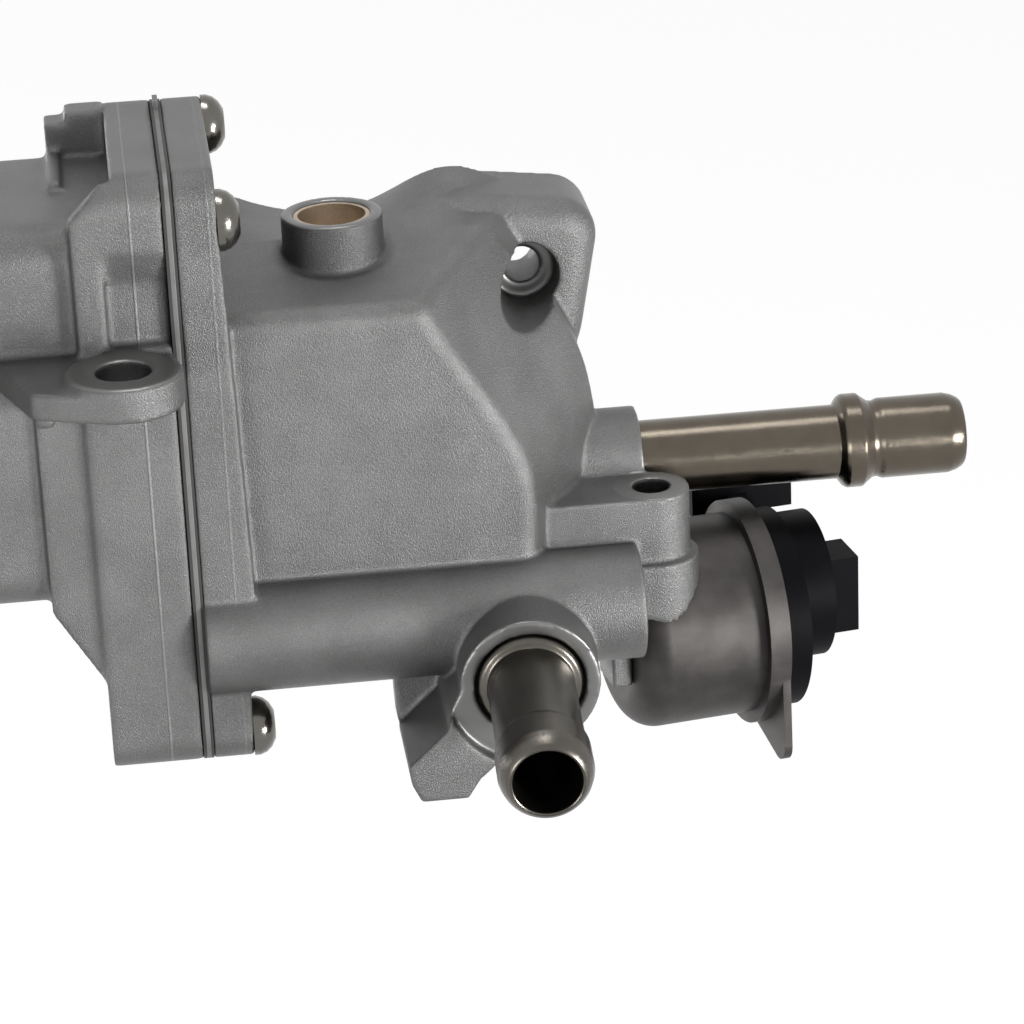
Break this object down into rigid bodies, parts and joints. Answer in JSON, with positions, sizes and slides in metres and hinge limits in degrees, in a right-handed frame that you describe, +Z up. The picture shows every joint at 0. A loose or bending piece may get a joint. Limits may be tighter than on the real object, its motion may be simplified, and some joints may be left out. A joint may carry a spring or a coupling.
{
  "type": "egr cooler",
  "caption": "Cast exhaust gas cooler with a tube core, a side-ported end cover, hose spigots and a vacuum-worked bypass flap.",
  "frame": {"origin": "centre of the gas inlet's machined face", "axes": "+X along the tube core towards the end cover, +Y towards the engine side with the gas outlet, +Z up"},
  "size_m": [0.3781, 0.1407, 0.1649],
  "materials": {
    "cast": "sand-blasted cast aluminium",
    "tube": "warm satin nickel",
    "steel": "bright rolled steel",
    "gasket": "black coated gasket",
    "screw": "satin nickel",
    "can": "satin grey-brown steel",
    "cap": "near-black moulded plastic",
    "rubber": "black rubber",
    "bronze": "sintered bronze"
  },
  "bodies": {
    "cooler": {"core_housing": "cast", "housing_gasket": "gasket", "tube_plate": "steel", "cover_gasket": "gasket", "inlet_header": "steel", "gas_tubes": "steel", "bypass_tube": "steel", "baffles": "steel", "outlet_cover": "cast", "cover_screws": "screw", "front_spigot": "tube", "side_spigot": "tube", "core_plug": "steel", "flap_bush": "bronze", "shaft_seal": "rubber", "actuator_can": "can", "actuator_diaphragm": "rubber", "actuator_cap": "cap", "actuator_nuts": "screw", "return_spring": "steel"},
    "flap": {"flap_shaft": "steel", "bypass_flap": "steel", "flap_screws": "screw", "flap_lever": "steel", "lever_pin": "steel", "lever_nut": "screw", "pin_clip": "steel"},
    "rod": {"actuator_rod": "steel", "piston_plate": "steel", "rod_nut": "screw"}
  },
  "joints": [
    {"name": "rod_slide", "type": "slide", "parent": "cooler", "child": "rod", "axis": [0.9877, 0.1564, 0], "range_m": [0, 0.01606], "stiffness_N_per_m": 250, "springref_m": -0.01, "deforming": ["return_spring", "actuator_diaphragm"]},
    {"name": "flap_turn", "type": "hinge", "parent": "cooler", "child": "flap", "pos_m": [0.254, 0.005, -0.033], "axis": [0, 0, 1], "range_deg": [0, 70]}
  ],
  "couplings": [
    {"joint": "flap_turn", "follows": "rod_slide", "rad_per_m": 76.072}
  ]
}
